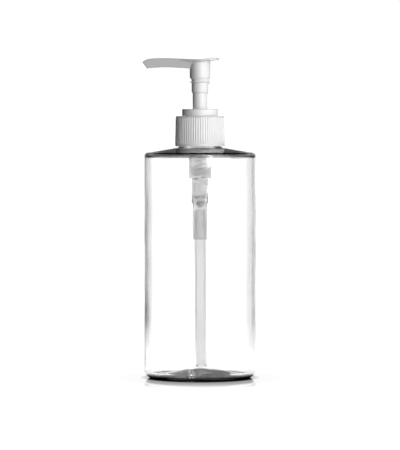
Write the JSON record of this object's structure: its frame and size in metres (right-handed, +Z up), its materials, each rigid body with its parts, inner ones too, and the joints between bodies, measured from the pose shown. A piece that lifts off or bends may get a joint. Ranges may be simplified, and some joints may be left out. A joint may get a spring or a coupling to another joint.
{
  "type": "lotion pump bottle",
  "caption": "Clear round bottle with a ribbed screw closure and a white lotion pump: swivelling saddle-shaped head, long nozzle, sprung piston, ball valve and dip tube.",
  "frame": {"origin": "on the bottle's axis, in the plane of the flat ring that it stands on", "axes": "+Z up along the bottle's axis, the nozzle points along -X, +Y to the bottle's back"},
  "size_m": [0.0736, 0.071, 0.2039],
  "materials": {
    "clear_pet": "clear, polished",
    "white_pp": "white polypropylene, satin gloss",
    "natural_pp": "milky translucent polypropylene",
    "natural_pe": "milky translucent polyethylene tube",
    "piston_pe": "soft polyethylene",
    "foam": "closed-cell foam washer",
    "spring_steel": "drawn stainless wire",
    "ball_steel": "polished stainless ball"
  },
  "bodies": {
    "bottle": {"bottle": "clear_pet"},
    "pump": {"housing": "natural_pp", "gasket": "foam", "collar": "white_pp", "dip_tube": "natural_pe", "ball_cage": "natural_pp", "spring": "spring_steel"},
    "closure": {"closure": "white_pp"},
    "piston": {"piston": "piston_pe"},
    "head": {"actuator": "white_pp", "stem": "white_pp", "stem_plug": "natural_pp"},
    "ball": {"valve_ball": "ball_steel"}
  },
  "joints": [
    {"name": "thread_rise", "type": "slide", "parent": "bottle", "child": "pump", "axis": [0, 0, 1], "range_m": [0, 0.00635]},
    {"name": "closure_turn", "type": "hinge", "parent": "pump", "child": "closure", "pos_m": [0, 0, 0.157], "axis": [0, 0, 1], "range_deg": [0, 540]},
    {"name": "pump_stroke", "type": "slide", "parent": "pump", "child": "piston", "axis": [0, 0, -1], "range_m": [0, 0.0162], "stiffness_N_per_m": 500, "springref_m": -0.012, "deforming": ["spring"]},
    {"name": "head_swivel", "type": "hinge", "parent": "piston", "child": "head", "pos_m": [0, 0, 0.1814], "axis": [0, 0, 1], "continuous": true},
    {"name": "ball_lift", "type": "slide", "parent": "pump", "child": "ball", "axis": [0, 0, 1], "range_m": [0, 0.0024]}
  ],
  "couplings": [
    {"joint": "thread_rise", "follows": "closure_turn", "m_per_rad": 0.00067376}
  ]
}
